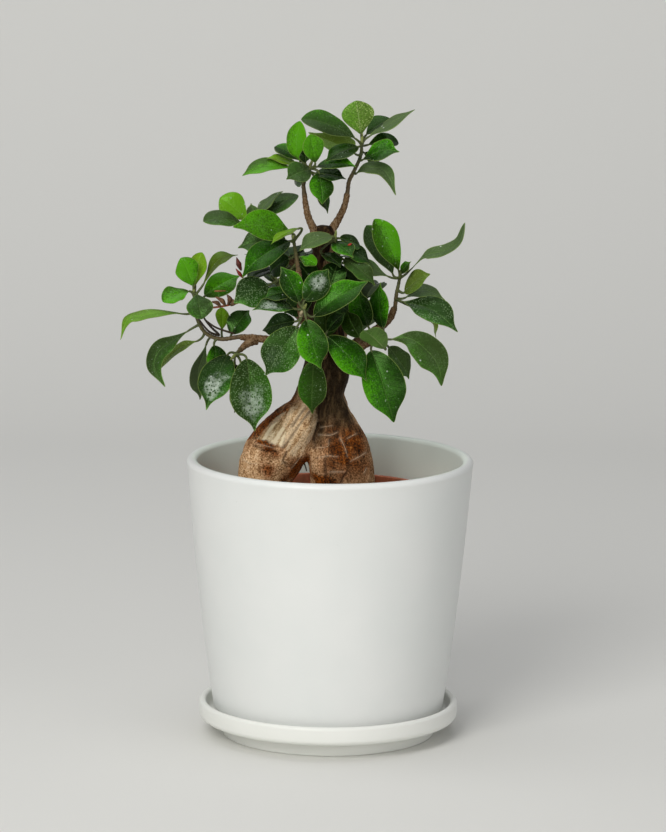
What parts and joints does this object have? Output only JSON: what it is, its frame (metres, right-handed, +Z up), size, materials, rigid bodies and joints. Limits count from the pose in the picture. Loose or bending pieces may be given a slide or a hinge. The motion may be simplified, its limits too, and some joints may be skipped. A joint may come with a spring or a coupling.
{
  "type": "ginseng fig bonsai in a pot",
  "caption": "Small ginseng fig bonsai with fat split roots and leafy shoots, in a nursery pot set in a white tapered pot on a saucer.",
  "frame": {"origin": "centre of the saucer's flat underside, on the surface that the plant stands on", "axes": "+Z up along the pot's axis and the tree's height; -Y towards the viewer of the picture; +X to the viewer's right"},
  "size_m": [0.1844, 0.1524, 0.3347],
  "materials": {
    "glaze": "satin white ceramic glaze",
    "nursery_plastic": "thin moulded terracotta-coloured plastic",
    "soil": "dark crumbly potting mix",
    "bark": "smooth to fissured fig bark",
    "leaf": "glossy leathery leaf"
  },
  "bodies": {
    "root": {"nursery_pot": "nursery_plastic", "pot": "glaze", "saucer": "glaze", "shoot_back": "leaf", "shoot_back_left": "leaf", "shoot_back_low": "leaf", "shoot_back_right": "leaf", "shoot_back_top": "leaf", "shoot_centre": "leaf", "shoot_front": "leaf", "shoot_inner": "leaf", "shoot_left": "leaf", "shoot_left_low": "leaf", "shoot_low_front": "leaf", "shoot_right": "leaf", "shoot_right_low": "leaf", "shoot_top_left": "leaf", "shoot_top_right": "leaf", "shoot_upper_front": "leaf", "shoot_upper_left": "leaf", "soil": "soil", "trunk": "bark"}
  },
  "joints": []
}
